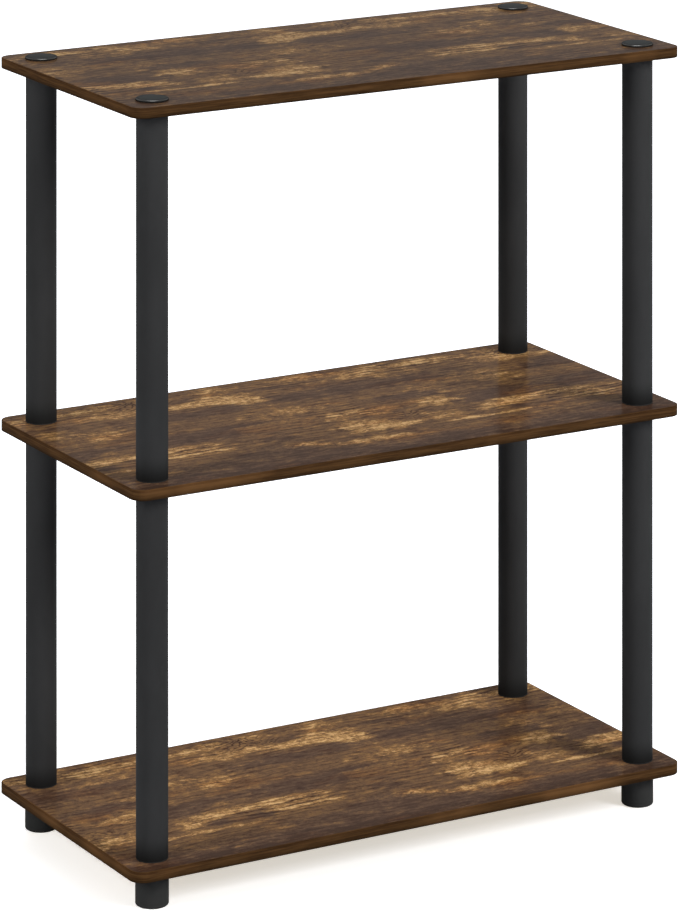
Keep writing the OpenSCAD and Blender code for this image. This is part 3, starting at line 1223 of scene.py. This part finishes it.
def add_socket_insert(level, corner):
    """The insert in the upper end of a tube. It is turned over, so heights count down from its lip."""
    node = f"{level}_{corner}_socket"
    top = node_box(node)[1].z
    outline = [(radius, top - height) for radius, height in insert_outline(SOCKET_RADIUS)]
    mesh = bmesh.new()
    turn_outline(mesh, outline + [(SOCKET_RADIUS, top)], axes[corner], closed=True)
    ribs = (top - PLUG_HEIGHT + RIB_DROP, top - LIP_THICK + BOND)
    add_ribs(mesh, axes[corner], SLEEVE_RADIUS, PLUG_RADIUS - SKIRT_WALL, *ribs)
    add_piece(f"{level}_{corner}_socket_insert", mesh, foot_finish, "black_moulding", "frame", node)


def add_stud_insert(level, corner):
    """The insert in the lower end of a tube, with the stud that goes down through the board."""
    node = f"{level}_{corner}_stud"
    face = node_box(node)[0].z + stud_length
    body = [(radius, face + height) for radius, height in insert_outline(STUD_BORE)]
    outline = list(reversed(stud_outline(face))) + body
    mesh = bmesh.new()
    turn_outline(mesh, outline, axes[corner], closed=True, swell=screw_swell(face))
    ribs = (face + LIP_THICK - BOND, face + PLUG_HEIGHT - RIB_DROP)
    add_ribs(mesh, axes[corner], SLEEVE_RADIUS, PLUG_RADIUS - SKIRT_WALL, *ribs)
    add_piece(f"{level}_{corner}_stud_insert", mesh, foot_finish, "black_moulding", "frame", node)


for level in LEVELS:
    for corner in CORNERS:
        add_socket_insert(level, corner)
        add_stud_insert(level, corner)
print("inserts", len(LEVELS) * len(CORNERS) * 2)

# %% [markdown]
# ## The feet
# A foot is a moulded cup, a little wider than the tube above it, with a rounded lower edge and a ribbed
# sleeve for the lowest stud. Its outline runs from the axis under the floor, round the wall, down into
# the cup and up over the sleeve to the bottom of the socket.

# %% The feet
FOOT_WALL = 2.2 * MM
FOOT_FLOOR = 3 * MM
FOOT_ROUND = 2 * MM
RIM_BEVEL = 0.3 * MM
FLOOR_FILLET = 0.8 * MM
SOCKET_DEPTH = THREAD_RIDGES * THREAD_PITCH + STUD_LEAD + 1.5 * MM


def add_foot(corner):
    """One foot, with its ribs."""
    node = f"{corner}_foot"
    low, high = node_box(node)
    outer = (high.x - low.x) / 2
    inner = outer - FOOT_WALL
    top = high.z
    outline = [(0, 0)]
    outline += arc((outer - FOOT_ROUND, FOOT_ROUND), FOOT_ROUND, -90, 0)
    outline += arc((outer - RIM_BEVEL, top - RIM_BEVEL), RIM_BEVEL, 0, 90, steps=4)
    outline += arc((inner + RIM_BEVEL, top - RIM_BEVEL), RIM_BEVEL, 90, 180, steps=4)
    outline += arc((inner - FLOOR_FILLET, FOOT_FLOOR + FLOOR_FILLET), FLOOR_FILLET, 0, -90, steps=4)
    outline += [
        (SLEEVE_RADIUS, FOOT_FLOOR),
        (SLEEVE_RADIUS, top - RIM_BEVEL),
        (SLEEVE_RADIUS - RIM_BEVEL, top),
        (SOCKET_RADIUS + RIM_BEVEL, top),
        (SOCKET_RADIUS, top - RIM_BEVEL),
        (SOCKET_RADIUS, top - SOCKET_DEPTH),
        (0, top - SOCKET_DEPTH),
    ]
    mesh = bmesh.new()
    turn_outline(mesh, outline, axes[corner])
    add_ribs(mesh, axes[corner], SLEEVE_RADIUS, inner, FOOT_FLOOR - BOND, top - RIB_DROP)
    add_piece(f"{corner}_foot_cup", mesh, foot_finish, "black_moulding", "frame", node)
    return top


print("feet up to", [round(add_foot(corner), 4) for corner in CORNERS])

# %% [markdown]
# ## The caps
# A flat disc with a rounded upper edge closes each corner on the top board. Its stud screws into the upper
# tube, so the cap is the first piece to come off. It rides on its own body.

# %% The caps
CAP_ROUND = 0.8 * MM
CAP_SKIN = 2.5 * MM
CAP_LOWER_ROUND = 0.3 * MM


def add_cap(corner):
    """One cap with its stud."""
    node = f"{corner}_cap"
    low, high = node_box(node)
    radius = (high.x - low.x) / 2
    face = low.z + stud_length
    outline = [(0, high.z)]
    outline += arc((radius - CAP_ROUND, high.z - CAP_ROUND), CAP_ROUND, 90, 0)
    outline += arc((radius - CAP_LOWER_ROUND, face + CAP_LOWER_ROUND), CAP_LOWER_ROUND, 0, -90, steps=4)
    outline += stud_outline(face)
    outline += [(STUD_BORE, high.z - CAP_SKIN), (0, high.z - CAP_SKIN)]
    mesh = bmesh.new()
    turn_outline(mesh, outline, axes[corner], swell=screw_swell(face))
    add_piece(f"{corner}_cap_disc", mesh, cap_finish, "black_cap", node, node)
    return radius


print("caps of radius", [round(add_cap(corner), 4) for corner in CORNERS])
